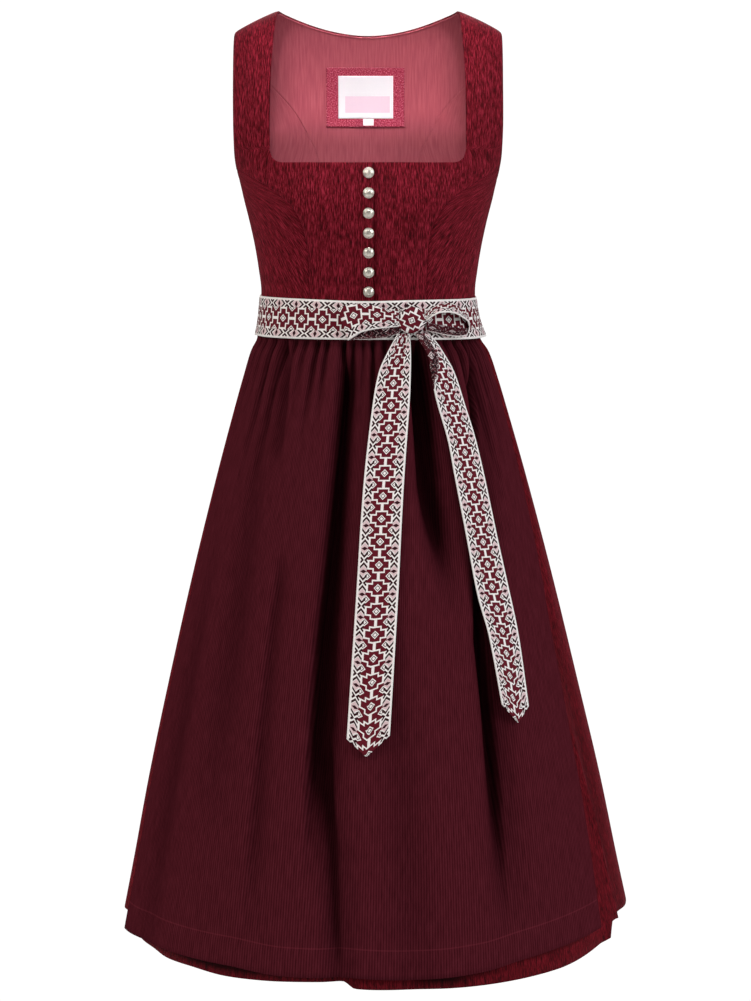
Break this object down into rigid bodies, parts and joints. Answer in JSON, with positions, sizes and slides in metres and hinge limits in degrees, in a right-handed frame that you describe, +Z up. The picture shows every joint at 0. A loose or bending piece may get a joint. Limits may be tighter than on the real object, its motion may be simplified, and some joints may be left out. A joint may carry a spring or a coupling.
{
  "type": "dirndl",
  "caption": "Dirndl dress in worn form: sleeveless buttoned bodice with square neck, gathered skirt, gathered apron with a patterned ribbon band and bow.",
  "frame": {"origin": "under the cloth on top of the shoulders, midway between them, where the wearer's shoulders hold the dress up", "axes": "+X to the right of someone who looks at the front, +Y to the back, +Z up"},
  "size_m": [0.5653, 0.5117, 1.0122],
  "materials": {
    "bodice_velour": "ribbed chenille velour with a soft sheen",
    "lining": "matt plain weave",
    "patch": "melange twill",
    "label": "woven satin",
    "button_metal": "cast, with aged silver plating",
    "skirt_cloth": "the bodice's ribbed chenille velour, a shade darker",
    "apron_cord": "fine needlecord",
    "ribbon": "jacquard weave"
  },
  "bodies": {
    "root": {"bodice_front_left": "bodice_velour", "bodice_front_right": "bodice_velour", "bodice_side_front_left": "bodice_velour", "bodice_side_front_right": "bodice_velour", "bodice_back": "bodice_velour", "bodice_side_back_left": "bodice_velour", "bodice_side_back_right": "bodice_velour", "lining_back": "lining", "lining_side_back_left": "lining", "lining_side_back_right": "lining", "label_patch": "patch", "label": "label", "size_tab": "label", "button_1": "button_metal", "button_2": "button_metal", "button_3": "button_metal", "button_4": "button_metal", "button_5": "button_metal", "button_6": "button_metal", "button_7": "button_metal", "skirt_front": "skirt_cloth", "skirt_back": "skirt_cloth", "apron": "apron_cord", "belt_band": "ribbon", "bow_knot": "ribbon", "bow_loop_left": "ribbon", "bow_loop_right": "ribbon", "bow_tail_left": "ribbon", "bow_tail_right": "ribbon"}
  },
  "joints": []
}
